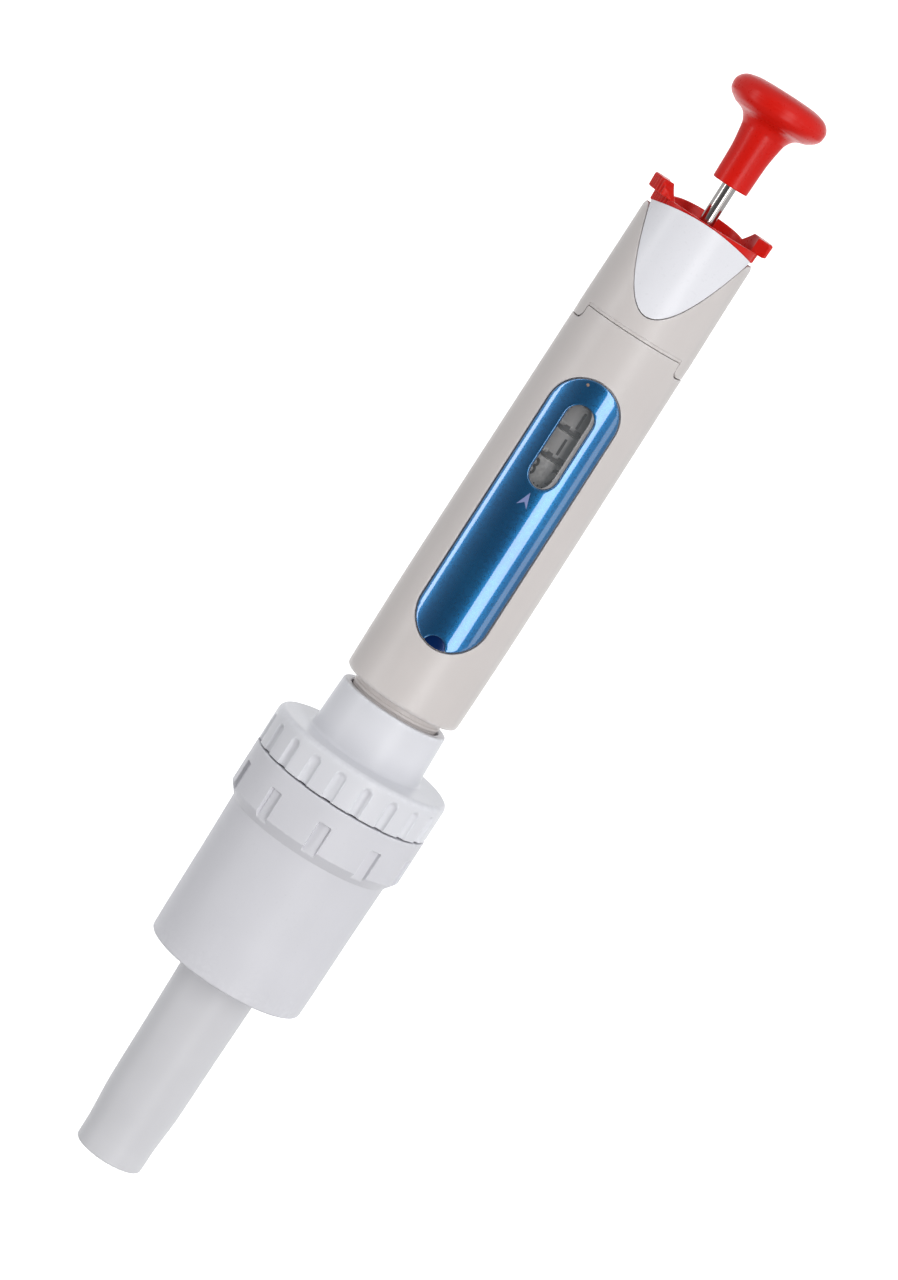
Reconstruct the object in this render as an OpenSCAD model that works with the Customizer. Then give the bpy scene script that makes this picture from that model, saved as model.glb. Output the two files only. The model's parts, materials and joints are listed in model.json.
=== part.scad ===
// Large-volume hand-held adjustable piston pipette, millimetres, +Z up.
// The origin is the centre of the nozzle's bottom end, on the axis. The counter window faces -Y.

/* [Handle] */
// Widest radius of the lower barrel, half way down the grip
barrel_r = 14.05; // [13.95:0.05:14.2]
// Radius of the barrel where the lower and upper halves meet
seam_r = 13.75; // [13.7:0.05:13.85]
// Radius of the upper barrel just under its top shoulder
shoulder_r = 13.5; // [13.45:0.05:13.6]
// Inner radius of the lower barrel
barrel_bore_r = 11.8; // [11.7:0.05:11.9]
// Height of the barrel's bottom face
barrel_z0 = 121; // [120.8:0.1:121.4]
// Height of the seam between the two barrel halves
seam_z = 214.8; // [214.4:0.1:215.2]
// Height of the flat top face of the cap
cap_z = 239.9; // [239.7:0.1:240]

/* [Thumb panels] */
// Height of the lowest point of each white panel
panel_tip_z = 219.3; // [218.5:0.1:221]
// Height of the panel's arched top edge at its middle
panel_top_z = 242.1; // [241.8:0.1:242.2]
// Square of the panel's half width gained per millimetre of height
panel_spread = 7.45; // [7:0.05:7.8]

/* [Label and window] */
// Width of the blue label cover
label_w = 16.3; // [15.5:0.1:17]
// Height of the label's lower end
label_z0 = 135.9; // [135:0.1:137]
// Height of the label's upper end
label_z1 = 202.3; // [201:0.1:203]
// Width of the counter window
window_w = 6.7; // [6:0.1:7.2]
// Height of the window's lower end
window_z0 = 176.5; // [176:0.1:177]
// Height of the window's upper end
window_z1 = 196.6; // [196:0.1:197]

/* [Push button and rod] */
// Height of the underside of the button's stem at rest
stem_z = 251.2; // [250.8:0.1:251.6]
// Radius of the steel plunger rod
rod_r = 1.7; // [1.6:0.05:1.75]
// Plunger travel from rest to the first stop
first_stop_travel = 9; // [8.5:0.1:9.2]
// Further travel that blows the last drop out
blowout_travel = 2.4; // [2:0.1:2.4]

/* [Lock ring] */
// Outer radius of the lock ring's wall
ring_r = 13.05; // [12.9:0.01:13.05]
// Outer radius of its two finger tabs
tab_r = 14.8; // [14.2:0.1:15]
// Height of the top of the tabs
tab_z = 245.5; // [245:0.1:246]
// Azimuth of the middle of the right-hand tab at rest, from the front
tab_azimuth = 97; // [90:1:100]

/* [Counter] */
// Radius of the number drums
drum_r = 8; // [7.6:0.1:8]
// Height from one drum to the next
drum_pitch = 6.8; // [6.7:0.05:6.8]
// Height of the lowest drum's underside
drum_z = 175.6; // [175.5:0.05:175.6]

/* [Lower assembly] */
// Bore radius of the measuring cylinder
cylinder_bore_r = 16; // [15.9:0.05:16.05]
// Outer radius of the slotted ring and of the fluted collar
grip_r = 21.25; // [21:0.05:21.4]
// Height of the seam between the collar and the cylinder's ring
collar_z = 96.9; // [96.6:0.1:97.1]
// Height of the cylinder's bottom face
cylinder_z0 = 49; // [48.5:0.1:49.5]
// Outer radius of the nozzle where it leaves the cylinder
nozzle_root_r = 9.35; // [9.3:0.01:9.36]
// Outer radius of the straight land that a disposable tip is pushed onto
tip_land_r = 8.2; // [8:0.05:8.3]
// Radius of the nozzle's air channel
nozzle_bore_r = 6.4; // [6:0.1:6.5]

/* [Hidden] */
$fn = 96;

fit = 0.07;             // radial clearance of a running fit
gap = 0.2;              // visible groove between fixed shells
far = 40;               // longer than any cut has to reach

// Lower barrel's inner parts
spigot_r = 10.55;       // visible neck of the barrel inside the collar
journal_r = 9.93;       // lower part of the spigot, which the collar turns on
spigot_step_z = 106.3;  // shoulder between the two
spigot_z0 = 94;         // bottom of the spigot
spring_seat_z = 97;     // floor that the return spring stands on
spigot_bore_r = 8.8;

// Counter
drum_h = drum_pitch - 0.1;
gear_h = 1.5;
sleeve_r = 4.3;
axle_r = 0.6;
axle_y = drum_r + 1.65;
frame_r = 11.7;
frame_z0 = 170.5;
frame_z1 = 200;
nut_block_z0 = 205.2;
nut_block_z1 = 212.8;

// Spindle and stops
spindle_r = 3;
spindle_flat = 2.6;     // half the width across the spindle's flats
rod_flat = 1.4;         // half the width across the rod's flats
spindle_z0 = 160;
spindle_z1 = 221;
keyed_z = 201.5;        // the spindle is flatted below here and round above
bore_flats_z = 190;     // top of the flats in the spindle's bore
rod_flats_z = bore_flats_z + first_stop_travel + blowout_travel + 1;
stop_collar_z = 156.85;
plate_top_z = stop_collar_z - first_stop_travel - 0.05;
plate_h = 2.2;
housing_z0 = 131;
housing_floor_z = 133.5;

// Piston
cup_z = 122.2;
piston_z0 = 80;
piston_z1 = 88;
piston_r = cylinder_bore_r - 0.4;
screw_r = 1.5;

// Collar, cylinder and nozzle
neck_bore_r = 11;
collar_web_z0 = 104;
collar_top_z = 106.2;
collar_thread_r = 18;
thread_top_z = 103.2;
floor_z = 55;
land_z = 4.5;

// Points of an arc about (x, y)
function arc(x, y, r, from, to, n = 8) =
    [for (i = [0:n]) let (a = from + (to - from) * i / n) [x + r * cos(a), y + r * sin(a)]];

// A solid turned about the axis from (radius, height) points
module turned(points) rotate_extrude() polygon(points);

// A plain ring or tube between two heights
module tube(r_in, r_out, z0, z1) translate([0, 0, z0]) difference() {
    cylinder(r = r_out, h = z1 - z0);
    translate([0, 0, -1]) cylinder(r = r_in, h = z1 - z0 + 2);
}

// A rod section with two flats
module flatted(r, half_flat, z0, z1) translate([0, 0, z0]) linear_extrude(z1 - z0)
    intersection() {
        circle(r = r);
        square([2 * half_flat, 2 * r + 1], center = true);
    }

// A prism through the front wall with round ends, between two heights
module capsule_prism(w, z0, z1) rotate([90, 0, 0]) linear_extrude(far) {
    translate([0, z0 + w / 2]) circle(d = w);
    translate([0, z1 - w / 2]) circle(d = w);
    translate([-w / 2, z0 + w / 2]) square([w, z1 - z0 - w]);
}

// Half width of a thumb panel at a height
function panel_half(z) = sqrt(panel_spread * max(0, z - panel_tip_z));

// Height of the panel's arched top edge at a distance from its middle
function panel_arch(x) = panel_top_z - x * x / 84;

// The panel's outline seen from the front, grown by g
module panel_outline(g) {
    side_z = 240.2;
    steps = 14;
    low = [for (i = [0:steps]) let (z = panel_tip_z + (side_z - panel_tip_z) * pow(i / steps, 2))
        [panel_half(z) + g * (i > 1 ? 1 : 0), z - g * (i > 1 ? 0.4 : 1)]];
    edge = panel_half(side_z);
    top = [for (i = [1:steps - 1]) let (x = edge * (1 - 2 * i / steps)) [x, panel_arch(x) + g]];
    polygon(concat(low, top, [for (i = [steps:-1:1]) [-low[i][0], low[i][1]]]));
}

module panel_prisms(g) for (turn = [0, 180])
    rotate([0, 0, turn]) rotate([90, 0, 0]) linear_extrude(far) panel_outline(g);

// Outline of the two side tongues where the upper barrel reaches down, grown by g
module side_tongues(g) rotate([90, 0, 90]) translate([0, 0, -far / 2]) linear_extrude(far) {
    half = 7.3 + g;
    low = 211.3 - g;
    corner = 2;
    translate([-half, low + corner]) square([2 * half, 12]);
    translate([-half + corner, low]) square([2 * (half - corner), 3]);
    for (side = [-1, 1]) translate([side * (half - corner), low + corner]) circle(r = corner);
}

// A coil spring with closed ends, swept as one closed skin
module coil(r, wire, z0, z1, turns) {
    sides = 8;
    per_turn = 18;
    n = turns * per_turn;
    span = z1 - z0 - 2 * wire;
    function rise(u) = u < 1 ? 2 * wire * u
        : u > turns - 1 ? span - 2 * wire * (turns - u)
        : 2 * wire + (span - 4 * wire) * (u - 1) / (turns - 2);
    points = [for (i = [0:n], k = [0:sides - 1])
        let (t = 360 * i / per_turn, b = 360 * k / sides, q = r + wire * cos(b))
        [q * cos(t), q * sin(t), z0 + wire + rise(i / per_turn) + wire * sin(b)]];
    walls = [for (i = [0:n - 1], k = [0:sides - 1])
        let (a = i * sides + k, b = i * sides + (k + 1) % sides) [a, b, b + sides, a + sides]];
    caps = [[for (k = [sides - 1:-1:0]) k], [for (k = [0:sides - 1]) n * sides + k]];
    polyhedron(points, concat(walls, caps), convexity = 10);
}

// ---- Handle: shells, cap, label ----

module lower_barrel() color([0.74, 0.72, 0.70]) difference() {
    turned(concat(
        [[spigot_bore_r, barrel_z0 + 2.5], [spigot_bore_r, spring_seat_z], [4.6, spring_seat_z],
         [4.6, spigot_z0], [journal_r, spigot_z0], [journal_r, spigot_step_z],
         [spigot_r, spigot_step_z], [spigot_r, 118.8], [spigot_r + 0.2, 119],
         [spigot_r + 0.2, 119.5], [spigot_r, 119.7], [spigot_r, barrel_z0]],
        arc(12.85, barrel_z0 + 1, 1, -90, 0),
        [[13.93, 127], [barrel_r, 140], [barrel_r, 155], [13.9, 188], [seam_r, seam_z - 0.4],
         [barrel_bore_r, seam_z - 0.4], [barrel_bore_r, barrel_z0 + 2.5]]
    ));
    difference() {
        capsule_prism(label_w + 2 * gap, label_z0 - gap, label_z1 + gap);
        cylinder(r = 12.85, h = far * 8);
    }
    capsule_prism(window_w, window_z0, window_z1);
    side_tongues(0.25);
    tube(journal_r - 0.5, journal_r + 1, 102.1, 103.8);
}

module upper_barrel() color([0.74, 0.72, 0.70]) difference() {
    union() {
        turned(concat(
            [[11.75, seam_z + 0.4], [seam_r - 0.02, seam_z + 0.4], [13.6, 224]],
            arc(shoulder_r - 1.5, 238.4, 1.5, 0, 80),
            [[11.75, cap_z]]
        ));
        turned([[10.95, 206], [11.75, 206], [11.75, seam_z - 0.3], [13.2, seam_z - 0.3],
            [13.2, seam_z + 1], [11.75, seam_z + 1], [11.75, 219], [10.95, 218]]);
        intersection() {
            turned([[11.9, 211], [13.66, 211], [seam_r - 0.02, seam_z + 0.4], [11.9, seam_z + 0.4]]);
            side_tongues(0);
        }
    }
    panel_prisms(gap);
}

module top_cap() color([0.88, 0.89, 0.93]) {
    difference() {
        cylinder(r = 11.7, h = cap_z);
        translate([0, 0, -1]) cylinder(r = far, h = cap_z - 3.5 + 1);
        cylinder(r = 7.5, h = far * 8);
    }
    intersection() {
        turned([[11.5, 218], [13.5, 218], [13.62, 224], [shoulder_r, 238], [shoulder_r, 243],
            [ring_r + 0.1, 243], [ring_r + 0.1, cap_z], [11.5, cap_z]]);
        panel_prisms(0);
    }
}

module label_cover() color([0.02, 0.25, 0.6]) difference() {
    intersection() {
        tube(12.9, barrel_r + 0.15, label_z0 - 1, label_z1 + 1);
        capsule_prism(label_w, label_z0, label_z1);
    }
    capsule_prism(window_w, window_z0, window_z1);
    difference() {
        translate([0, 0, label_z0]) rotate([90, 0, 0]) cylinder(r = 2.6, h = far);
        cylinder(r = barrel_r - 0.45, h = far * 8);
    }
}

module window_lens() color([0.8, 0.85, 0.9, 0.4]) intersection() {
    tube(12.4, 13.4, window_z0 - 1, window_z1 + 1);
    capsule_prism(window_w - 0.04, window_z0 + 0.02, window_z1 - 0.02);
}

// ---- Counter ----

module counter_frame() color([0.2, 0.2, 0.22]) difference() {
    union() {
        tube(sleeve_r + fit, frame_r, frame_z0, frame_z0 + 2.8);
        tube(sleeve_r + fit, frame_r, frame_z1 - 2.8, frame_z1);
        tube(5, 10.8, nut_block_z0, nut_block_z1);
        for (azimuth = [70, 140, 220, 290]) rotate([0, 0, azimuth - 90])
            translate([10.2, 0, frame_z0]) cylinder(r = 1.1, h = nut_block_z0 - frame_z0);
        for (azimuth = [70, 140, 220, 290]) rotate([0, 0, azimuth - 90])
            translate([9.2, 0, nut_block_z0 - 1.5]) cylinder(r = 1.5, h = 1.5);
    }
    translate([0, axle_y, 171.5]) cylinder(r = axle_r, h = 27.4);
}

module pinion_axle() color([0.75, 0.76, 0.78])
    translate([0, axle_y, 171.5]) cylinder(r = axle_r, h = 27.4);

// A small transfer pinion with eight rounded tooth spaces
module pinion(z0) translate([0, axle_y, z0]) difference() {
    cylinder(r = 1.5, h = 3.6);
    translate([0, 0, -1]) cylinder(r = axle_r + 0.05, h = 6);
    for (i = [0:7]) rotate([0, 0, 45 * i]) translate([1.6, 0, -1]) cylinder(r = 0.3, h = 6);
}

module lower_pinion() color([0.9, 0.9, 0.88]) pinion(drum_z + drum_pitch - 1.5);
module upper_pinion() color([0.9, 0.9, 0.88]) pinion(drum_z + 2 * drum_pitch - 1.5);

// A number drum with a toothed band round its lower edge
module drum(index, r_in) {
    z0 = drum_z + index * drum_pitch;
    difference() {
        tube(r_in, drum_r, z0, z0 + drum_h);
        tube(6.6, 7.2, z0 + 1.5, z0 + drum_h + 1);
        if (index > 0) for (i = [0:19]) rotate([0, 0, 18 * i])
            translate([drum_r - 0.35, -0.55, z0 - 1]) cube([1, 1.1, gear_h + 1]);
    }
}

module fine_drum() color([0.85, 0.85, 0.86]) drum(0, sleeve_r);
module middle_drum() color([0.85, 0.85, 0.86]) drum(1, sleeve_r + fit);
module top_drum() color([0.85, 0.85, 0.86]) drum(2, sleeve_r + fit);

module drive_sleeve() color([0.25, 0.25, 0.27]) difference() {
    union() {
        translate([0, 0, frame_z0]) cylinder(r = sleeve_r, h = frame_z1 - frame_z0 + 0.2);
        translate([0, 0, frame_z0 + 3]) cylinder(r = 6.5, h = drum_z - frame_z0 - 3);
    }
    flatted(spindle_r + fit, spindle_flat + fit, frame_z0 - 1, 191);
    translate([0, 0, 190]) cylinder(r = spindle_r + 0.15, h = far);
}

module drive_clip() color([0.7, 0.71, 0.73]) tube(sleeve_r, 5.6, 196.1, 196.9);

module spindle_nut() color([0.78, 0.62, 0.3]) tube(spindle_r + fit, 5, 206, 212);

module setting_spindle() color([0.78, 0.62, 0.3]) difference() {
    union() {
        flatted(spindle_r, spindle_flat, spindle_z0, keyed_z);
        translate([0, 0, keyed_z]) cylinder(r = spindle_r, h = spindle_z1 - keyed_z);
    }
    flatted(rod_r + fit, rod_flat + fit, spindle_z0 - 1, bore_flats_z);
    translate([0, 0, bore_flats_z - 1]) cylinder(r = rod_r + fit, h = far);
}

// ---- Stops, springs and guides ----

module stop_housing() color([0.3, 0.3, 0.32]) turned([
    [4, housing_z0], [barrel_bore_r, housing_z0], [barrel_bore_r, housing_floor_z],
    [10.2, housing_floor_z], [10.2, plate_top_z + 2.6], [6, plate_top_z + 2.6],
    [6, plate_top_z + 0.1], [8.6, plate_top_z + 0.1], [8.6, housing_floor_z],
    [4, housing_floor_z]]);

module blowout_plate() color([0.72, 0.73, 0.75])
    tube(rod_r + 0.3, 8.3, plate_top_z - plate_h, plate_top_z);

module blowout_spring() color([0.65, 0.66, 0.68])
    coil(6.6, 0.5, housing_floor_z, plate_top_z - plate_h, 5);

module guide_bush() color([0.78, 0.62, 0.3]) tube(rod_r + fit, 4, 129.5, 134.5);

module rod_bush() color([0.78, 0.62, 0.3]) tube(3.5 + fit, 4.6, spigot_z0, spring_seat_z + 0.8);

module return_spring() color([0.65, 0.66, 0.68]) coil(6.9, 0.6, spring_seat_z, cup_z, 8);

module retaining_ring() color([0.6, 0.61, 0.63]) difference() {
    tube(journal_r - 0.5, 12.4, 102.2, 103.7);
    translate([0, -1.5, 100]) cube([far, 3, 10]);
}

// ---- Plunger and piston ----

module push_button() color([0.8, 0.06, 0.05]) difference() {
    turned(concat(
        [[0, stem_z], [3.95, stem_z], [4.2, stem_z + 0.3], [4.25, 254], [4.4, 258], [4.62, 260.5]],
        arc(8.2, 263.3, 3.2, 180, 96),
        arc(8.2, 270.4, 3.16, -62, 84, 14),
        [[4.5, 273.95], [0, 274.1]]
    ));
    translate([0, 0, stem_z - 1]) cylinder(r = rod_r, h = 12);
}

module plunger_rod() color([0.75, 0.76, 0.78]) {
    translate([0, 0, rod_flats_z]) cylinder(r = rod_r, h = stem_z + 11 - rod_flats_z);
    flatted(rod_r, rod_flat, spindle_z0 - 0.5, rod_flats_z);
    translate([0, 0, cup_z + 1.4]) cylinder(r = rod_r, h = spindle_z0 - 0.5 - cup_z - 1.4);
}

module rod_stop_collar() color([0.7, 0.71, 0.73])
    tube(rod_r, 4.5, stop_collar_z, spindle_z0 - 0.5);

module spring_cup() color([0.25, 0.25, 0.27]) difference() {
    union() {
        translate([0, 0, cup_z]) cylinder(r = 8.4, h = 2.8);
        translate([0, 0, cup_z - 2.5]) cylinder(r = 5.8, h = 2.5);
    }
    translate([0, 0, cup_z + 1.4]) cylinder(r = rod_r, h = 5);
    translate([0, 0, cup_z - 5]) cylinder(r = 3.5, h = 5);
}

module piston_rod() color([0.82, 0.83, 0.84]) difference() {
    translate([0, 0, piston_z1]) cylinder(r = 3.5, h = cup_z - piston_z1);
    translate([0, 0, piston_z1 - 1]) cylinder(r = screw_r, h = 7);
}

module piston() color([0.86, 0.86, 0.84]) difference() {
    translate([0, 0, piston_z0]) cylinder(r = piston_r, h = piston_z1 - piston_z0);
    translate([0, 0, piston_z0 - 1]) cylinder(r = screw_r, h = 20);
    tube(piston_r - 1.8, far, 82.8, 85.2);
}

module piston_seal() color([0.1, 0.1, 0.1]) rotate_extrude()
    translate([cylinder_bore_r - 0.05 - 1.05, 84]) circle(r = 1.05);

module piston_screw() color([0.7, 0.71, 0.73]) {
    translate([0, 0, piston_z0 - 2]) difference() {
        cylinder(r = 2.8, h = 2);
        translate([-3.5, -0.4, -1]) cube([7, 0.8, 1.7]);
    }
    translate([0, 0, piston_z0]) cylinder(r = screw_r, h = 14);
}

// ---- Lock ring ----

// A sector of the lock ring's raised wall, centred on an azimuth from the right-hand side
module wall_sector(middle, half, r_in, r_out, z0, z1) rotate([0, 0, middle - half])
    rotate_extrude(angle = 2 * half) translate([r_in, z0]) square([r_out - r_in, z1 - z0]);

module lock_ring() color([0.8, 0.06, 0.05]) difference() {
    union() {
        turned([[6.2, 235.2], [7.2, 235.2], [8.2, 235.6], [8.2, 236.2], [7.4, 236.2], [7.4, cap_z + 0.1],
            [ring_r, cap_z + 0.1], [ring_r, 242.35], [11.6, 242.35], [11.6, 240.9], [6.2, 240.9]]);
        for (side = [0, 180]) rotate([0, 0, tab_azimuth + side - 90]) {
            wall_sector(0, 25, 11.8, tab_r, 242.1, tab_z);
            wall_sector(28, 5, 11.95, tab_r - 0.15, 242.15, 244.2);
        }
        wall_sector(90, 44, 11.75, ring_r - 0.1, 242.2, 243.6);
    }
    for (side = [0, 180], i = [0:8]) rotate([0, 0, tab_azimuth + side - 90 - 22 + 5.5 * i])
        translate([tab_r + 0.1, 0, 241]) cylinder(r = 0.4, h = 6);
}

// ---- Collar, cylinder and nozzle ----

module fluted_collar() color([0.86, 0.87, 0.92]) difference() {
    turned(concat(
        [[neck_bore_r, 118.2], [neck_bore_r, collar_top_z], [journal_r + fit, collar_top_z],
         [journal_r + fit, collar_web_z0], [collar_thread_r, collar_web_z0],
         [collar_thread_r, collar_z + 0.15], [grip_r, collar_z + 0.15]],
        arc(grip_r - 1.4, collar_top_z - 1.3, 1.3, 0, 90),
        arc(14.6, collar_top_z + 1.3, 1.3, 270, 180, 6),
        [[12.95, 117.8], [12.7, 118.5], [11.3, 118.5]]
    ));
    for (i = [0:19]) rotate([0, 0, 18 * i - 90 - 4.1])
        translate([grip_r + 0.55, 0, collar_z - 2]) cylinder(r = 1.4, h = 9.3, $fn = 32);
}

module cylinder_body() color([0.86, 0.87, 0.91]) difference() {
    turned(concat(
        [[nozzle_root_r + fit, floor_z], [nozzle_root_r + fit, cylinder_z0]],
        arc(18.25, cylinder_z0 + 0.6, 0.6, -90, 0, 5),
        [[19.35, 83.2], [19.35, 83.6], [grip_r, 86.1], [grip_r, collar_z], [collar_thread_r - fit, collar_z],
         [collar_thread_r - fit, thread_top_z], [cylinder_bore_r, thread_top_z], [cylinder_bore_r, floor_z]]
    ));
    for (i = [0:9]) rotate([0, 0, 36 * i - 90 + 3.4])
        translate([grip_r - 0.8, -1.6, 80]) cube([5, 3.2, 12.4]);
}

module cylinder_gasket() color([0.12, 0.12, 0.12])
    tube(cylinder_bore_r + 0.3, collar_thread_r - 0.3, thread_top_z, collar_web_z0 - 0.05);

module nozzle_tube() color([0.88, 0.88, 0.88]) difference() {
    turned([
        [nozzle_bore_r, 0], [tip_land_r - 0.3, 0], [tip_land_r, 0.5], [tip_land_r, land_z], [8.5, 9.5],
        [8.8, 13.5], [8.98, 24], [nozzle_root_r, 46], [nozzle_root_r, floor_z + 1],
        [nozzle_bore_r, floor_z + 1]
    ]);
    tube(8.1, far, 51.2, 52.6);
}

module nozzle_o_ring() color([0.1, 0.1, 0.1]) rotate_extrude()
    translate([8.77, 51.9]) circle(r = 0.6);

module nozzle_filter() color([0.93, 0.93, 0.9])
    translate([0, 0, 1.5]) cylinder(r = nozzle_bore_r, h = 8);

lower_barrel();
upper_barrel();
top_cap();
label_cover();
window_lens();
counter_frame();
pinion_axle();
spindle_nut();
stop_housing();
guide_bush();
rod_bush();
retaining_ring();
blowout_spring();
return_spring();
drive_sleeve();
fine_drum();
drive_clip();
middle_drum();
top_drum();
lower_pinion();
upper_pinion();
setting_spindle();
push_button();
plunger_rod();
rod_stop_collar();
spring_cup();
piston_rod();
piston();
piston_seal();
piston_screw();
blowout_plate();
lock_ring();
fluted_collar();
cylinder_body();
cylinder_gasket();
nozzle_o_ring();
nozzle_tube();
nozzle_filter();
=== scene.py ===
import json
import math
import bpy
import bmesh
import numpy as np
from mathutils import Matrix, Vector
from mathutils.geometry import delaunay_2d_cdt


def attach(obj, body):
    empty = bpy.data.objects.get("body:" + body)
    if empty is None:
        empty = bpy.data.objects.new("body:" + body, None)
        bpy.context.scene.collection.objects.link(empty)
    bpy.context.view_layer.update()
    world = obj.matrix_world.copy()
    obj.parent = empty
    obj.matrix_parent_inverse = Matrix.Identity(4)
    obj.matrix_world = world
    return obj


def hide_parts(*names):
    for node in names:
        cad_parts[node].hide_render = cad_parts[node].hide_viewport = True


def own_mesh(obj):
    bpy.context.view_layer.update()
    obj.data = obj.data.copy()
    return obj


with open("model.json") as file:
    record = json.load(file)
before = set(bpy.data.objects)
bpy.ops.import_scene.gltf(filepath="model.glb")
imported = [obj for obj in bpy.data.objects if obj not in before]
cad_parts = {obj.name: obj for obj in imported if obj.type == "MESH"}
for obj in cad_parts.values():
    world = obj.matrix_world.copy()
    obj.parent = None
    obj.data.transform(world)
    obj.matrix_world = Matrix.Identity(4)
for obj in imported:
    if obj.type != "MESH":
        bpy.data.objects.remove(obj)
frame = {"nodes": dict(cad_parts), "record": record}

# The object's lengths are millimetres, and MM turns them into the frame's metres.
# The stage, the camera and the lights are in metres.
MM = 0.001
TAU = 2 * math.pi


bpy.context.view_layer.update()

# ---------------------------------------------------------------- materials


def new_material(name):
    m = bpy.data.materials.new(name)
    m.use_nodes = True
    nt = m.node_tree
    nt.nodes.clear()
    out = nt.nodes.new("ShaderNodeOutputMaterial")
    bsdf = nt.nodes.new("ShaderNodeBsdfPrincipled")
    nt.links.new(bsdf.outputs[0], out.inputs[0])
    return m, nt, bsdf


def put(node, values):
    """Sets a node's own sockets to plain values."""
    for name, value in values.items():
        node.inputs[name].default_value = value


def noise(nt, scale, detail=3.0, rough=0.55, stretch=None):
    """Fine noise in object space, scale in features per metre."""
    co = nt.nodes.new("ShaderNodeTexCoord")
    n = nt.nodes.new("ShaderNodeTexNoise")
    put(n, {"Scale": scale, "Detail": detail, "Roughness": rough})
    source = co.outputs["Object"]
    if stretch:
        mp = nt.nodes.new("ShaderNodeMapping")
        put(mp, {"Scale": stretch})
        nt.links.new(source, mp.inputs["Vector"])
        source = mp.outputs["Vector"]
    nt.links.new(source, n.inputs["Vector"])
    return n.outputs["Fac"]


def ramp(nt, fac, stops):
    r = nt.nodes.new("ShaderNodeValToRGB")
    e = r.color_ramp.elements
    while len(e) < len(stops):
        e.new(0.5)
    for i, (p, c) in enumerate(stops):
        e[i].position = p
        e[i].color = (*c, 1)
    nt.links.new(fac, r.inputs["Fac"])
    return r.outputs["Color"]


def spread(nt, fac, lo, hi, a=0.3, b=0.7):
    m = nt.nodes.new("ShaderNodeMapRange")
    put(m, {"From Min": a, "From Max": b, "To Min": lo, "To Max": hi})
    nt.links.new(fac, m.inputs["Value"])
    return m.outputs["Result"]


def mix_colour(nt, fac, a, b):
    m = nt.nodes.new("ShaderNodeMix")
    m.data_type = "RGBA"
    for socket, value in ((m.inputs["Factor"], fac), (m.inputs[6], a), (m.inputs[7], b)):
        if isinstance(value, (int, float)):
            socket.default_value = value
        elif isinstance(value, tuple):
            socket.default_value = (*value, 1)
        else:
            nt.links.new(value, socket)
    return m.outputs[2]


def bump(nt, bsdf, layers):
    """layers: list of (height socket, distance in mm, strength), stacked."""
    last = None
    for height, dist, strength in layers:
        b = nt.nodes.new("ShaderNodeBump")
        put(b, {"Distance": dist * MM, "Strength": strength})
        nt.links.new(height, b.inputs["Height"])
        if last is not None:
            nt.links.new(last, b.inputs["Normal"])
        last = b.outputs["Normal"]
    nt.links.new(last, bsdf.inputs["Normal"])


def edge_mask(nt, scale=900):
    """The worn share of the piece's edges, from the mesh's own edge values broken up by noise."""
    a = nt.nodes.new("ShaderNodeAttribute")
    a.attribute_name = "edge"
    n = noise(nt, scale, 4)
    m = nt.nodes.new("ShaderNodeMath")
    m.operation = "MULTIPLY"
    nt.links.new(a.outputs["Fac"], m.inputs[0])
    nt.links.new(spread(nt, n, 0, 1, 0.4, 0.65), m.inputs[1])
    return m.outputs[0]


def surface(nt, bsdf, colour, rough):
    nt.links.new(colour, bsdf.inputs["Base Color"])
    nt.links.new(rough, bsdf.inputs["Roughness"])


def cells(nt, scale):
    """The outputs of small cells in object space, scale in cells per metre."""
    co = nt.nodes.new("ShaderNodeTexCoord")
    v = nt.nodes.new("ShaderNodeTexVoronoi")
    put(v, {"Scale": scale})
    nt.links.new(co.outputs["Object"], v.inputs["Vector"])
    return v.outputs


def plastic(name, colour, rough=0.35, variation=0.05, grain=0.4, grain_scale=5200,
            worn=None, metallic=0.0, spec=0.5, flow=0.0, specks=0.0):
    """Moulded plastic. worn is the colour of its rubbed edges, and flow and specks are strengths of marks."""
    m, nt, p = new_material(name)
    broad = noise(nt, 55, 2)
    dark = tuple(c * (1 - variation) for c in colour)
    lite = tuple(min(1, c * (1 + variation * 0.6)) for c in colour)
    base = ramp(nt, broad, [(0.3, dark), (0.7, lite)])
    if flow:
        streak = noise(nt, 260, 3, 0.5, (1, 1, 0.06))
        base = mix_colour(nt, spread(nt, streak, 0, flow), base, tuple(c * 0.8 for c in colour))
    if specks:
        sp = noise(nt, 2600, 1, 0.4)
        base = mix_colour(nt, spread(nt, sp, 0, specks, 0.70, 0.78), base, tuple(c * 0.45 for c in colour))
    if worn:
        base = mix_colour(nt, edge_mask(nt), base, worn)
    surface(nt, p, base, spread(nt, noise(nt, 1300, 4), rough * 0.86, min(1, rough * 1.16)))
    put(p, {"Metallic": metallic, "Specular IOR Level": spec})
    bump(nt, p, [(noise(nt, grain_scale, 3, 0.6), 0.012, grain), (noise(nt, 120, 2), 0.06, 0.25)])
    return m


def metal(name, colour, rough=0.2, turned=0.0, drawn=0.0):
    m, nt, p = new_material(name)
    stretch = (1, 1, 26) if turned else (14, 14, 0.4) if drawn else None
    lines = noise(nt, 900, 4, 0.6, stretch)
    base = ramp(nt, lines, [(0.3, tuple(c * 0.86 for c in colour)), (0.7, colour)])
    base = mix_colour(nt, spread(nt, noise(nt, 160, 3), 0, 0.25, 0.5, 0.75), base, tuple(c * 0.7 for c in colour))
    surface(nt, p, base, spread(nt, lines, rough * 0.7, rough * 1.35))
    put(p, {"Metallic": 1.0})
    bump(nt, p, [(lines, 0.006, max(turned, drawn, 0.03))])
    return m


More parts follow.
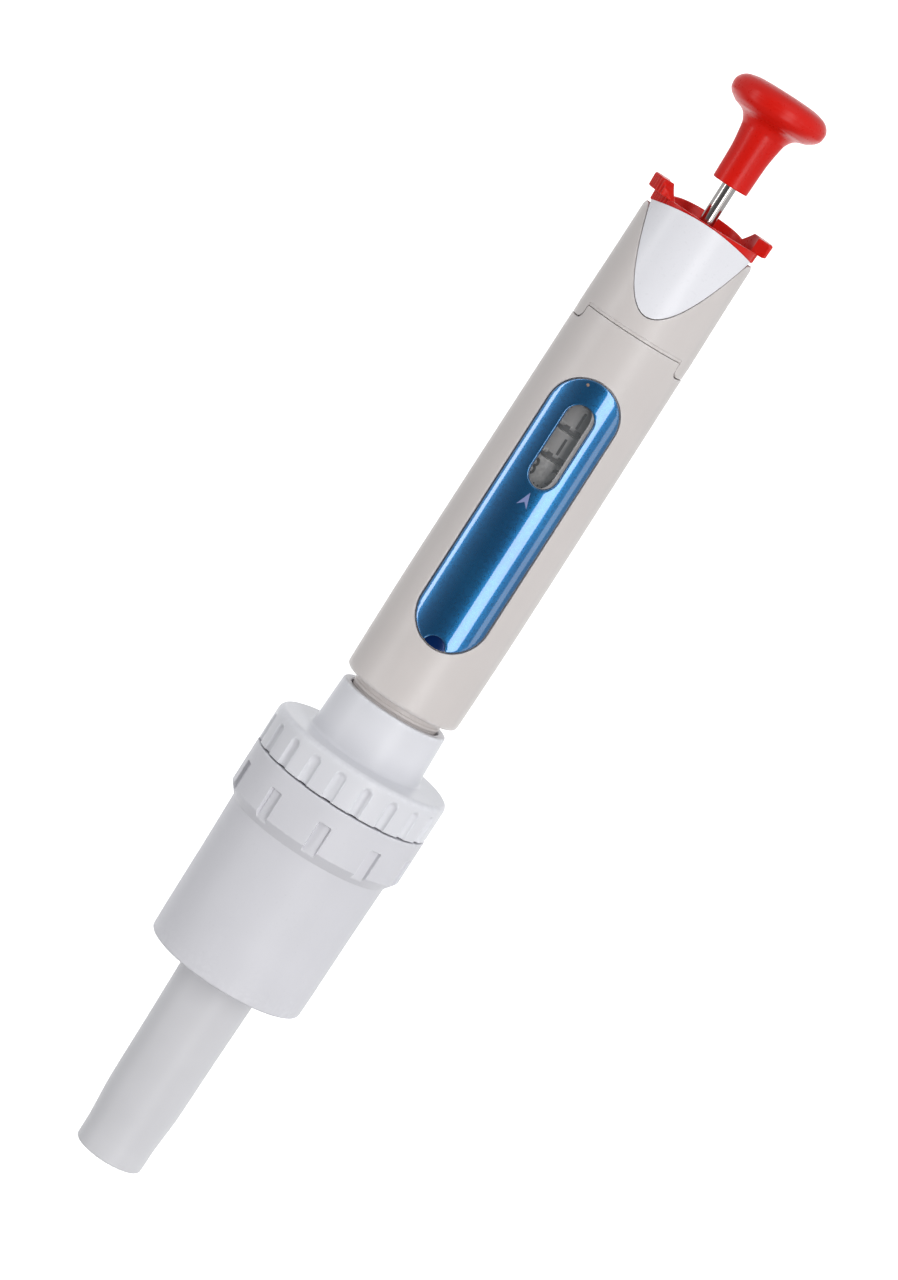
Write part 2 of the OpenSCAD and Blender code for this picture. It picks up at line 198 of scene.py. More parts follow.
def rubber(name):
    m, nt, p = new_material(name)
    base = ramp(nt, noise(nt, 300, 4), [(0.3, (0.012, 0.012, 0.013)), (0.7, (0.035, 0.035, 0.036))])
    surface(nt, p, base, spread(nt, noise(nt, 900, 4), 0.35, 0.6))
    bump(nt, p, [(noise(nt, 3000, 3), 0.01, 0.5)])
    return m


def felt(name):
    m, nt, p = new_material(name)
    pores = cells(nt, 3800)["Distance"]
    base = ramp(nt, pores, [(0.0, (0.55, 0.55, 0.53)), (0.6, (0.9, 0.9, 0.87))])
    surface(nt, p, base, spread(nt, noise(nt, 900, 4), 0.85, 0.98))
    bump(nt, p, [(pores, 0.08, 0.9)])
    return m


def blue_gloss(name):
    """Metallic blue lacquer under a clear coat."""
    m, nt, p = new_material(name)
    flakes = cells(nt, 9000)
    base = ramp(nt, noise(nt, 70, 3), [(0.3, (0.0, 0.105, 0.29)), (0.7, (0.001, 0.135, 0.345))])
    sparkle = spread(nt, flakes["Color"], 0, 0.12, 0.5, 1.0)
    base = mix_colour(nt, sparkle, base, (0.01, 0.26, 0.52))
    base = mix_colour(nt, edge_mask(nt), base, (0.03, 0.2, 0.45))
    surface(nt, p, base, spread(nt, noise(nt, 1500, 3), 0.24, 0.34))
    put(p, {"Metallic": 0.75, "Coat Weight": 1.0, "Coat IOR": 1.8, "Coat Roughness": 0.05})
    bump(nt, p, [(flakes["Distance"], 0.001, 0.05), (noise(nt, 90, 2), 0.05, 0.1)])
    return m


def clear_pane(name):
    m, nt, p = new_material(name)
    base = ramp(nt, noise(nt, 200, 3), [(0.3, (0.8, 0.86, 0.9)), (0.7, (0.9, 0.94, 0.96))])
    surface(nt, p, base, spread(nt, noise(nt, 800, 4), 0.02, 0.07))
    put(p, {"Alpha": 0.04, "Specular IOR Level": 0.5, "Coat Weight": 0.3, "Coat Roughness": 0.02})
    bump(nt, p, [(noise(nt, 150, 2), 0.03, 0.15)])
    return m


MATS = {
    "barrel_plastic": plastic("barrel_plastic", (0.635, 0.592, 0.575), 0.36, 0.03, 0.35, 6000,
                              (0.7, 0.67, 0.66), spec=0.42, flow=0.10, specks=0.05),
    "white_plastic": plastic("white_plastic", (0.70, 0.70, 0.735), 0.34, 0.025, 0.25, 4200,
                             (0.86, 0.87, 0.91), spec=0.3),
    "cylinder_plastic": plastic("cylinder_plastic", (0.655, 0.65, 0.685), 0.46, 0.03, 0.5, 3800,
                                (0.78, 0.78, 0.81), spec=0.25, specks=0.10),
    "nozzle_plastic": plastic("nozzle_plastic", (0.64, 0.635, 0.658), 0.42, 0.03, 0.35, 3600,
                              (0.75, 0.75, 0.77), spec=0.25, flow=0.05),
    "blue_cover": blue_gloss("blue_cover"),
    "clear_window": clear_pane("clear_window"),
    "red_plastic": plastic("red_plastic", (0.66, 0.010, 0.005), 0.30, 0.06, 0.25, 4600,
                           (0.70, 0.03, 0.02), spec=0.2),
    # The drums are pale plastic: their mid grey here is painted shade, the shade they sit in behind the window.
    "drum_plastic": plastic("drum_plastic", (0.33, 0.315, 0.31), 0.5, 0.05, 0.4, 5200, (0.62, 0.61, 0.6)),
    "dark_plastic": plastic("dark_plastic", (0.035, 0.035, 0.04), 0.42, 0.1, 0.5, 4200, (0.09, 0.09, 0.1)),
    "polished_steel": metal("polished_steel", (0.60, 0.57, 0.55), 0.10, drawn=0.03),
    "spring_steel": metal("spring_steel", (0.5, 0.5, 0.52), 0.26, drawn=0.4),
    "brass": metal("brass", (0.72, 0.5, 0.2), 0.22, turned=0.4),
    "piston_plastic": plastic("piston_plastic", (0.72, 0.72, 0.69), 0.32, 0.03, 0.3, 3000),
    "seal_rubber": rubber("seal_rubber"),
    "filter_felt": felt("filter_felt"),
}

# ---------------------------------------------------------------- meshes


def new_object(name, data):
    ob = bpy.data.objects.new(name, data)
    bpy.context.scene.collection.objects.link(ob)
    return ob


class Build:
    """Collects vertices in millimetres and faces, then welds them into one piece."""

    def __init__(self):
        self.v = []
        self.f = []

    def add(self, verts, faces):
        k = len(self.v)
        self.v.extend(tuple(map(float, p)) for p in verts)
        self.f.extend(tuple(int(i) + k for i in face) for face in faces)

    def piece(self, name, body, slot, replaces=(), weld=0.002, sharp=34, weighted=True):
        me = bpy.data.meshes.new(name)
        me.from_pydata([tuple(c * MM for c in p) for p in self.v], [], self.f)
        bm = bmesh.new()
        bm.from_mesh(me)
        bmesh.ops.remove_doubles(bm, verts=bm.verts, dist=weld * MM)
        bmesh.ops.dissolve_degenerate(bm, edges=bm.edges, dist=weld * MM * 0.5)
        bmesh.ops.recalc_face_normals(bm, faces=bm.faces)
        layer = bm.verts.layers.float.new("edge")
        for v in bm.verts:
            total = 0.0
            for e in v.link_edges:
                if len(e.link_faces) == 2 and e.is_convex:
                    total += e.calc_face_angle(0.0)
            v[layer] = min(1.0, max(0.0, total - 0.12) * 1.1)
        bm.to_mesh(me)
        bm.free()
        me.polygons.foreach_set("use_smooth", [True] * len(me.polygons))
        me.set_sharp_from_angle(angle=math.radians(sharp))
        ob = new_object(name, me)
        me.materials.append(MATS[slot] if isinstance(slot, str) else slot[1])
        if weighted:
            w = ob.modifiers.new("even_shading", "WEIGHTED_NORMAL")
            w.keep_sharp = True
            w.weight = 60
        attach(ob, body)
        if replaces:
            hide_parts(*replaces)
        return ob


def fillet(points, steps=5, closed=False):
    """Rounds the corners of (r, z) or (r, z, radius) points."""
    pts = [(p[0], p[1], p[2] if len(p) > 2 else 0.0) for p in points]
    n = len(pts)
    out = []
    for i, (x, y, rad) in enumerate(pts):
        if (not closed and i in (0, n - 1)) or rad <= 0:
            out.append((x, y))
            continue
        ax, ay = pts[i - 1][0] - x, pts[i - 1][1] - y
        bx, by = pts[(i + 1) % n][0] - x, pts[(i + 1) % n][1] - y
        la, lb = math.hypot(ax, ay), math.hypot(bx, by)
        half = math.pi / 2
        if min(la, lb) >= 1e-6:
            ax, ay, bx, by = ax / la, ay / la, bx / lb, by / lb
            half = math.acos(max(-1, min(1, ax * bx + ay * by))) / 2
        if half > math.radians(89.5):
            out.extend([(x, y)] * (steps + 1))
            continue
        cut = min(rad / math.tan(half), 0.48 * la, 0.48 * lb)
        p0 = (x + ax * cut, y + ay * cut)
        p2 = (x + bx * cut, y + by * cut)
        rad = cut * math.tan(half)
        d = math.hypot(ax + bx, ay + by)
        cx = x + (ax + bx) / d * rad / math.sin(half)
        cy = y + (ay + by) / d * rad / math.sin(half)
        a0 = math.atan2(p0[1] - cy, p0[0] - cx)
        a1 = math.atan2(p2[1] - cy, p2[0] - cx)
        sweep = (a1 - a0 + math.pi) % TAU - math.pi
        for k in range(steps + 1):
            a = a0 + sweep * k / steps
            out.append((cx + rad * math.cos(a), cy + rad * math.sin(a)))
    return out


def dense(points, step, closed=False):
    """Adds points so that no stretch of a profile is longer than step."""
    out = []
    n = len(points)
    for i in range(n if closed else n - 1):
        a, b = points[i], points[(i + 1) % n]
        k = max(1, math.ceil(math.hypot(b[0] - a[0], b[1] - a[1]) / step))
        out.extend((a[0] + (b[0] - a[0]) * j / k, a[1] + (b[1] - a[1]) * j / k) for j in range(k))
    if not closed:
        out.append(points[-1])
    return out


def spline(points, per=6):
    """A smooth curve through the points."""
    p = [np.array(q, float) for q in points]
    p = [2 * p[0] - p[1]] + p + [2 * p[-1] - p[-2]]
    out = []
    for i in range(1, len(p) - 2):
        for k in range(per):
            t = k / per
            out.append(tuple(0.5 * (2 * p[i] + (p[i + 1] - p[i - 1]) * t
                                    + (2 * p[i - 1] - 5 * p[i] + 4 * p[i + 1] - p[i + 2]) * t * t
                                    + (3 * p[i] - p[i - 1] - 3 * p[i + 1] + p[i + 2]) * t ** 3)))
    out.append(tuple(p[-2]))
    return out


def quads(rows, n, around=True, over=False):
    """Faces that join rows of n points. around closes each row, and over joins the last row to the first."""
    return [(i * n + j, i * n + (j + 1) % n, (i + 1) % rows * n + (j + 1) % n, (i + 1) % rows * n + j)
            for i in range(rows if over else rows - 1) for j in range(n if around else n - 1)]


def even(n):
    return [360.0 * i / n for i in range(n)]


def pattern(count, offsets, start=0.0):
    """Azimuths for a repeated feature: offsets in degrees either side of each feature's middle."""
    pitch = 360.0 / count
    o = sorted(set([-x for x in offsets] + list(offsets)))
    o = [x for x in o if -pitch / 2 < x <= pitch / 2 + 1e-9]
    return [start + pitch * i + x for i in range(count) for x in o]


def lathe(b, profile, cols=None, closed=False, warp=None):
    """Turns a profile about the axis. Azimuth 0 is the front, -Y, and 90 is +X."""
    cols = cols or even(160)
    verts, rings = [], []
    for r, z in profile:
        if r < 1e-6:
            rings.append([len(verts)] * len(cols))
            verts.append((0, 0, z))
            continue
        ring = []
        for a in cols:
            rr, zz = warp(r, z, a) if warp else (r, z)
            t = math.radians(a)
            ring.append(len(verts))
            verts.append((rr * math.sin(t), -rr * math.cos(t), zz))
        rings.append(ring)
    faces = []
    n, m = len(cols), len(rings)
    for i in range(m if closed else m - 1):
        p, q = rings[i], rings[(i + 1) % m]
        for j in range(n):
            k = (j + 1) % n
            face = []
            for idx in (p[j], p[k], q[k], q[j]):
                if idx not in face:
                    face.append(idx)
            if len(face) > 2:
                faces.append(face)
    b.add(verts, faces)


def inside(pts, loop):
    x, y = pts[:, 0], pts[:, 1]
    hit = np.zeros(len(pts), bool)
    n = len(loop)
    for i in range(n):
        x0, y0 = loop[i]
        x1, y1 = loop[(i + 1) % n]
        if y0 == y1:
            continue
        cross = ((y0 > y) != (y1 > y)) & (x < (x1 - x0) * (y - y0) / (y1 - y0) + x0)
        hit ^= cross
    return hit


def area(loop):
    x, y = loop[:, 0], loop[:, 1]
    return 0.5 * float(np.sum(x * np.roll(y, -1) - np.roll(x, -1) * y))


def offset(loop, d, wrap=0.0):
    """Moves each point of a counter-clockwise loop out by d. With wrap, it is an open chain that repeats."""
    p = np.asarray(loop, float)
    before, after = np.roll(p, 1, 0), np.roll(p, -1, 0)
    if wrap:
        before[0] = p[-2] - (wrap, 0)
        after[-1] = p[1] + (wrap, 0)
    e0, e1 = p - before, after - p
    e0 /= np.maximum(np.linalg.norm(e0, axis=1, keepdims=True), 1e-12)
    e1 /= np.maximum(np.linalg.norm(e1, axis=1, keepdims=True), 1e-12)
    n0, n1 = np.stack([e0[:, 1], -e0[:, 0]], 1), np.stack([e1[:, 1], -e1[:, 0]], 1)
    mid = n0 + n1
    mid /= np.maximum(np.linalg.norm(mid, axis=1, keepdims=True), 1e-12)
    scale = np.clip(np.sum(mid * n0, axis=1), 0.5, 1)
    return p + mid * (d / scale)[:, None]


class Skin:
    """A turned surface that flat outlines are wrapped onto.

    u is the arc length at radius r0. v is the height, or with height off the length along the profile.
    """

    def __init__(self, profile, r0, height=True):
        q = np.array(profile, float)
        seg = np.linalg.norm(np.diff(q, axis=0), axis=1)
        self.v = q[:, 1].copy() if height else np.concatenate([[0], np.cumsum(seg)])
        self.q = q
        t = np.gradient(q, self.v, axis=0)
        t /= np.linalg.norm(t, axis=1, keepdims=True)
        self.n = np.stack([t[:, 1], -t[:, 0]], 1)
        self.r0 = r0

    def at(self, uv, depth):
        uv = np.asarray(uv, float)
        r = np.interp(uv[:, 1], self.v, self.q[:, 0])
        z = np.interp(uv[:, 1], self.v, self.q[:, 1])
        nr = np.interp(uv[:, 1], self.v, self.n[:, 0])
        nz = np.interp(uv[:, 1], self.v, self.n[:, 1])
        k = np.hypot(nr, nz)
        r, z = r - depth * nr / k, z - depth * nz / k
        a = uv[:, 0] / self.r0
        return np.stack([r * np.sin(a), -r * np.cos(a), z], 1)


def fill(skin, b, bound, holes, depth, gu, gv, keep=0.3):
    """Meshes the area inside bound and outside holes, wrapped onto the skin at a depth."""
    bound = np.asarray(bound, float)
    holes = [np.asarray(h, float) for h in holes]
    lo, hi = bound.min(0), bound.max(0)
    us = np.linspace(lo[0], hi[0], max(2, round((hi[0] - lo[0]) / gu)) + 1)
    vs = np.linspace(lo[1], hi[1], max(2, round((hi[1] - lo[1]) / gv)) + 1)
    grid = np.stack(np.meshgrid(us, vs), -1).reshape(-1, 2)
    ok = inside(grid, bound)
    for h in holes:
        ok &= ~inside(grid, h)
    grid = grid[ok]
    for loop in [bound] + holes:
        closed = np.concatenate([loop, loop[:1]])
        far_enough = np.ones(len(grid), bool)
        for s, e in zip(closed[:-1], closed[1:]):
            near = (np.abs(grid[:, 0] - (s[0] + e[0]) / 2) < abs(s[0] - e[0]) / 2 + keep) & \
                   (np.abs(grid[:, 1] - (s[1] + e[1]) / 2) < abs(s[1] - e[1]) / 2 + keep)
            if near.any():
                g = grid[near]
                d = e - s
                t = np.clip(((g - s) @ d) / max(d @ d, 1e-12), 0, 1)
                far_enough[near] &= np.linalg.norm(g - (s + t[:, None] * d), axis=1) > keep
        grid = grid[far_enough]
    pts, edges = [], []
    for loop in [bound] + holes:
        k = len(pts)
        pts.extend(Vector(p) for p in loop.tolist())
        edges.extend((k + i, k + (i + 1) % len(loop)) for i in range(len(loop)))
    pts.extend(Vector(p) for p in grid.tolist())
    vo, _, fo, _, _, _ = delaunay_2d_cdt(pts, edges, [], 0, 1e-6, False)
    vo = np.array([tuple(p) for p in vo])
    tri = np.array([f for f in fo if len(f) == 3])
    mid = vo[tri].mean(1)
    ok = inside(mid, bound)
    for h in holes:
        ok &= ~inside(mid, h)
    b.add(skin.at(vo, depth), tri[ok])


def strip(skin, b, rings, closed=True):
    """Joins rings of (points, depth), or (points, depth, own skin), that have the same number of points."""
    verts = []
    for pts, d, *own in rings:
        verts.extend((own[0] if own else skin).at(pts, d))
    b.add(verts, quads(len(rings), len(rings[0][0]), closed))


QUARTER = [math.pi / 2 * k / 4 for k in range(5)]


def round_over(loop, r, sign, wrap=0.0, turns=QUARTER):
    """Rings over a rounded edge. sign is 1 where the material lies inside the loop, -1 where outside."""
    return [(offset(loop, -sign * r * (1 - math.sin(a)), wrap), r * (1 - math.cos(a))) for a in turns]


def edge_rings(loop, r_out, depth, r_in, sign):
    """Rings from the outer face over a rounded edge, down the wall and round into the inner face."""
    return round_over(loop, r_out, sign) + [
        (offset(loop, -sign * r_in * (1 - math.cos(a))), depth - r_in * (1 - math.sin(a))) for a in QUARTER]


def plate(skin, b, loop, depth, r_out, r_in, holes=(), grid=0.6):
    """A curved plate with rounded edges inside loop, with holes."""
    outer = edge_rings(loop, r_out, depth, r_in, 1)
    strip(skin, b, outer)
    tops, backs = [], []
    for h in holes:
        rings = edge_rings(h, r_out, depth, r_in, -1)
        strip(skin, b, rings)
        tops.append(rings[0][0])
        backs.append(rings[-1][0])
    fill(skin, b, outer[0][0], tops, 0.0, grid, grid, min(0.3, grid * 0.5))
    fill(skin, b, outer[-1][0], backs, depth, grid * 2, grid * 2, min(0.3, grid * 0.5))


def arc2(cx, cy, r, a0, a1, n):
    t = np.radians(np.linspace(a0, a1, n))
    return np.stack([cx + r * np.cos(t), cy + r * np.sin(t)], 1)


def clean(loop, least=0.02):
    """Drops repeated points and returns the loop counter-clockwise."""
    out = [loop[0]]
    for p in loop[1:]:
        if np.hypot(*(p - out[-1])) > least:
            out.append(p)
    if np.hypot(*(out[0] - out[-1])) < least:
        out.pop()
    out = np.array(out)
    return out if area(out) > 0 else out[::-1].copy()


def capsule(slot, n, step=0.6, grow=0.0):
    """The outline of a slot of (width, bottom, top) with round ends, grown all round, counter-clockwise."""
    w, z0, z1 = slot[0] + 2 * grow, slot[1] - grow, slot[2] + grow
    r = w / 2
    k = max(2, round((z1 - z0 - w) / step))
    right = np.stack([np.full(k + 1, r), np.linspace(z0 + r, z1 - r, k + 1)], 1)
    left = np.stack([np.full(k + 1, -r), np.linspace(z1 - r, z0 + r, k + 1)], 1)
    return clean(np.concatenate([right, arc2(0, z1 - r, r, 0, 180, n),
                                 left, arc2(0, z0 + r, r, 180, 360, n)]))


def tube_skin(r, r0):
    return Skin([(r, 100), (r, 230)], r0)


# ---------------------------------------------------------------- handle: the barrel's two halves

BR = 13.9        # radius at which the handle's outlines are unrolled
AROUND = TAU * BR
# Slots in the handle's front: width, bottom and top.
LABEL = (16.3, 135.9, 202.3)
WINDOW = (6.7, 176.5, 196.6)
SEAM_ROUND = 0.16

barrel_curve = spline([(13.80, 121), (13.85, 122), (13.93, 127), (14.05, 140), (14.06, 150), (14.0, 168),
                       (13.9, 188), (13.8, 205), (13.75, 214.4), (13.75, 217)], 6)
barrel_skin = Skin(barrel_curve, BR)
bore_skin = tube_skin(11.8, BR)
floor_skin = tube_skin(12.85, BR)


def wrap_x(loop, r):
    """Turns an outline seen from the front (x, z) into (u, v) on a surface of radius r."""
    out = np.array(loop, float)
    out[:, 0] = np.arcsin(np.clip(out[:, 0] / r, -1, 1)) * BR
    return out


def seam_chain(z, low, half, r, corner, top_corner):
    """A chain of (u, v) round the whole barrel at height z, from the back, that dips to low across each side."""
    notch = dense(fillet([(-10, z), (-half, z, top_corner), (-half, low, corner), (half, low, corner),
                          (half, z, top_corner), (10, z)], 7), 0.45)
    side = [(90 + math.degrees(math.asin(s / r)), h) for s, h in notch]
    lo, hi = side[0][0], side[-1][0]
    front = [(a, z) for a in np.linspace(-lo, lo, 60)][1:-1]
    right_back = [(a, z) for a in np.linspace(hi, 180, 30)][1:]
    left = [(a - 180, h) for a, h in side]
    left_back = [(-a, h) for a, h in right_back[::-1]]
    chain = left_back + left + front + side + right_back
    return np.array([(math.radians(a) * BR, h) for a, h in chain])


def band_bound(low_chain, high_chain):
    """Closes two chains into a counter-clockwise loop, with matching points up both sides of the back."""
    z0, z1 = low_chain[-1][1], high_chain[-1][1]
    k = max(2, round((z1 - z0) / 0.8))
    up = [(AROUND / 2, z0 + (z1 - z0) * i / k) for i in range(1, k)]
    down = [(-AROUND / 2, p[1]) for p in up[::-1]]
    return np.array(list(map(tuple, low_chain)) + up + list(map(tuple, high_chain[::-1])) + down)


def chain_edge(b, skin, chain, sign, inner):
    """A rounded free edge along a chain: the outer face, the round, then a wall to the inner skin."""
    rings = round_over(chain, SEAM_ROUND, sign, AROUND)
    strip(skin, b, rings + [(chain, 0.0, inner)], closed=False)
    return rings[0][0]


def lower_barrel():
    b = Build()
    cols = 180
    base = np.array([((i / cols - 0.5) * AROUND, 122.0) for i in range(cols + 1)])
    base_in = base.copy()
    base_in[:, 1] = 123.5
    chain = seam_chain(214.4, 211.05, 7.55, 13.75, 2.2, 0.35)
    top = chain_edge(b, barrel_skin, chain, -1, bore_skin)
    pocket = wrap_x(capsule(LABEL, 40, grow=0.3), 14.03)
    edge = round_over(pocket, SEAM_ROUND, -1, turns=(0, 0.4, 0.8, 1.2, math.pi / 2))
    strip(barrel_skin, b, edge + [(pocket, 0.0, floor_skin)])
    fill(barrel_skin, b, band_bound(base, top), [edge[0][0]], 0.0, 0.5, 0.9)
    hole = capsule(WINDOW, 18, 0.8)
    at_floor, at_mid = wrap_x(hole, 12.85), wrap_x(hole, 12.35)
    squeezed = hole.copy()
    right = squeezed[:, 0] > 0.8
    squeezed[right, 0] = 0.8 + (squeezed[right, 0] - 0.8) * 0.6
    at_bore = wrap_x(squeezed, 11.8)
    strip(floor_skin, b, [(at_floor, 0), (at_mid, 0, tube_skin(12.35, BR)), (at_bore, 0, bore_skin)])
    fill(floor_skin, b, pocket, [at_floor], 0.0, 1.2, 1.2)
    fill(bore_skin, b, band_bound(base_in, chain), [at_bore], 0.0, 1.6, 3.0)
    foot = [(12.85 + math.cos(t), 122 - math.sin(t)) for t in (0.35, 0.7, 1.05, 1.35, math.pi / 2)]
    lathe(b, [(13.85, 122)] + foot
          + fillet([(12.8, 121), (10.55, 121, 0.2), (10.55, 119.75), (10.75, 119.5, 0.08), (10.75, 119.0, 0.08),
                    (10.55, 118.75), (10.55, 106.3, 0.2), (9.93, 106.3, 0.1), (9.93, 103.8), (9.43, 103.8),
                    (9.43, 102.1), (9.93, 102.1), (9.93, 94, 0.3), (4.6, 94, 0.2), (4.6, 97), (8.8, 97, 0.3),
                    (8.8, 123.5), (11.8, 123.5)], 4),
          [math.degrees(u / BR) for u in base[:-1, 0]])
    b.piece("grip_barrel", "handle", "barrel_plastic", ["lower_barrel"])


def panel_loop():
    """The thumb panel's outline from the front: a long parabola with an arched top."""
    n, tip, tall, flare = 46, 219.3, 20.9, 7.45
    heights = [tip + tall * (i / n) ** 2 for i in range(n + 1)]
    right = [(math.sqrt(flare * max(0.0, z - tip)), z) for z in heights]
    edge = right[-1][0]
    top = [(x, 242.1 - x * x / 84) for x in (edge * (1 - 2 * i / 50) for i in range(1, 50))]
    pts = right + top + [(-x, z) for x, z in right[:0:-1]]
    return clean(np.array(pts), 0.01)


def upper_barrel():
    b = Build()
    curve = spline([(13.66, 210.5), (13.7, 213), (13.73, 215.2), (13.6, 224), (13.53, 231), (13.5, 237),
                    (13.5, 238.4)], 5)
    curve += [(12 + 1.5 * math.cos(t), 238.4 + 1.5 * math.sin(t)) for t in np.linspace(0.12, math.pi / 2, 12)]
    curve += [(11.75, 239.9)]
    skin = Skin(curve, BR, height=False)
    q = skin.q

    def v_of(z):
        return float(np.interp(z, q[:, 1], skin.v))

    low = seam_chain(215.2, 211.3, 7.3, 13.72, 2.0, 0.35)
    low[:, 1] = [v_of(h) for h in low[:, 1]]
    outline = offset(panel_loop(), 0.2)
    right = [p for p in outline if p[0] >= -1e-6 and p[1] < 239.85]
    right.sort(key=lambda p: p[0])
    quarter = [(0.0, v_of(right[0][1]))]
    for x, z in right:
        v = v_of(z)
        r = float(np.interp(v, skin.v, q[:, 0]))
        if x / r > math.sin(math.radians(84)):
            break
        if x > 0.15:
            quarter.append((math.asin(x / r) * BR, v))
    end = quarter[-1]
    quarter += [(math.radians(a) * BR, end[1] + 0.25) for a in (86, 88, 90)]
    half = quarter + [(math.pi * BR - u, v) for u, v in quarter[-2::-1]]
    high = np.array([(-u, v) for u, v in half[:0:-1]] + half)
    wall = [(r - 1.2, z) for r, z in q[:-13]] + [(r - 1.2 * r / 13.5, z - 1.1) for r, z in q[-13:]]
    inner = Skin(wall, BR, height=False)
    inner.v = skin.v
    top = chain_edge(b, skin, high, -1, inner)
    bottom = chain_edge(b, skin, low, 1, inner)
    fill(skin, b, band_bound(bottom, top), [], 0.0, 0.5, 0.9)
    fill(inner, b, band_bound(low, high), [], 0.0, 1.6, 3.0)
    lathe(b, fillet([(10.95, 206), (11.75, 206), (11.75, 214.5), (13.45, 214.5, 0.15), (13.45, 215.8),
                     (11.75, 215.8), (11.75, 219), (10.95, 218)], 3, True), even(140), True)
    b.piece("thumb_barrel", "handle", "barrel_plastic", ["upper_barrel"])


def top_cap():
    b = Build()
    shell = Skin(spline([(13.5, 217.5), (13.58, 221), (13.62, 224), (13.55, 231), (13.5, 238),
                         (13.5, 243)], 5), BR)
    loop = wrap_x(panel_loop(), 13.53)
    cut = np.array([p for p in loop if p[1] < 239.7])
    for turn in (0.0, math.pi * BR):
        plate(shell, b, loop + (turn, 0), 0.36, 0.14, 0.1, grid=0.5)
        back = offset(cut, -0.03) + (turn, 0)
        strip(shell, b, [(back, 0.3), (back, 1.5)])
        for depth in (0.3, 1.5):
            fill(shell, b, back, [], depth, 1.4, 1.4)
    lathe(b, fillet([(7.5, 236.4, 0.2), (11.65, 236.4, 0.2), (11.65, 239.85, 0.3), (7.5, 239.85, 0.3)], 3, True),
          even(140), True)
    # A lighter copy of the white plastic for the thumb panels: the extra lightness is a painted highlight.
    panel_highlight_white = plastic("panel_white_painted_highlight", (0.80, 0.797, 0.835), 0.30, 0.02, 0.2, 4200, (0.88, 0.88, 0.92), spec=0.35)
    b.piece("thumb_panels", "handle", ("white_plastic", panel_highlight_white), ["top_cap"])


# ---------------------------------------------------------------- label, window and pointer

LR = 14.2        # outer radius of the label cover
NOTCH_R = 2.6    # the half-moon bite at the label's foot


def label_cover():
    b = Build()
    foot = LABEL[1]
    cap = capsule(LABEL, 40)
    bite = np.hypot(cap[:, 0], cap[:, 1] - foot) < NOTCH_R
    keep = [i for i in range(len(cap)) if not bite[i]]
    start = next(i for i in keep if bite[i - 1])
    ordered = [cap[(start + k) % len(cap)] for k in range(len(cap)) if not bite[(start + k) % len(cap)]]
    a0, a1 = (math.degrees(math.atan2(p[1] - foot, p[0])) for p in (ordered[-1], ordered[0]))
    loop = clean(np.concatenate([ordered, arc2(0, foot, NOTCH_R, a0, a1, 26)[1:-1]]))
    window = capsule(WINDOW, 24, 0.5)
    plate(tube_skin(LR, BR), b, wrap_x(loop, LR), 1.3, 0.32, 0.1, [wrap_x(window, LR)], 0.5)
    end_r = LABEL[0] / 2
    half_moon = clean(np.concatenate([arc2(0, foot, NOTCH_R + 0.02, 8, 172, 30),
                                      arc2(0, foot + end_r, end_r, 253, 287, 14)]))
    notch = Build()
    plate(tube_skin(LR - 0.6, BR), notch, wrap_x(half_moon, LR), 0.6, 0.06, 0.02, grid=0.4)
    # The notch floor is a darker navy than the label: painted shade in the recess.
    notch_shade = plastic("notch_blue_painted_shade", (0.0, 0.018, 0.10), 0.22, 0.05, 0.2, 5000, spec=0.3, metallic=0.3)
    notch.piece("label_notch", "handle", ("blue_cover", notch_shade))
    b.piece("label_plate", "handle", "blue_cover", ["label_cover"])


def window_lens():
    b = Build()
    pane_r = 13.4
    plate(tube_skin(pane_r, BR), b, wrap_x(capsule(WINDOW, 24, 0.5, -0.03), pane_r), 0.9, 0.1, 0.05, grid=0.7)
    b.piece("counter_pane", "handle", "clear_window", ["window_lens"])


def pointer():
    b = Build()
    loop = dense([(-0.35, 175.0), (-1.65, 171.5), (-0.35, 172.7), (0.85, 171.5)], 0.25, True)
    plate(tube_skin(LR + 0.02, BR), b, wrap_x(clean(np.array(loop)), LR), 0.06, 0.01, 0.005, grid=0.25)
    ink = plastic("pointer_ink", (0.20, 0.24, 0.46), 0.35, 0.06, 0.2, 6000)
    b.piece("label_pointer", "handle", ("blue_cover", ink), weld=0.0005)


def gate_mark():
    """The small round mark that moulding leaves near the label's top: a domed top and a flat base."""
    b = Build()
    cx, cz, mark_r, rings, n = -2.4, 200.7, 0.34, 5, 20

    def ring(r, out):
        pts = []
        for j in range(n):
            a = TAU * j / n
            ang = math.asin((cx + r * math.cos(a)) / LR)
            pts.append((out * math.sin(ang), -out * math.cos(ang), cz + r * math.sin(a)))
        return pts
    dome = []
    for i in range(rings):
        t = i / (rings - 1)
        dome += ring(mark_r * (1 - t), LR + 0.015 + 0.06 * math.sin(t * math.pi / 2))
    b.add(dome, quads(rings, n))
    b.add(dome[:n] + ring(mark_r, LR - 0.05), quads(2, n) + [tuple(range(n, 2 * n))])
    tan = plastic("gate_mark_tan", (0.25, 0.17, 0.13), 0.5, 0.1, 0.4, 6000)
    b.piece("label_gate_mark", "handle", ("blue_cover", tan), weld=0.0005)


# ---------------------------------------------------------------- number drums

DRUM_R = 8.0
DRUM_TALL = 6.7
DRUM_Z = [175.6 + 6.8 * i for i in range(3)]
TOOTH = 18.0     # degrees from one of a drum's carry teeth to the next
drum_skin = tube_skin(DRUM_R, DRUM_R)


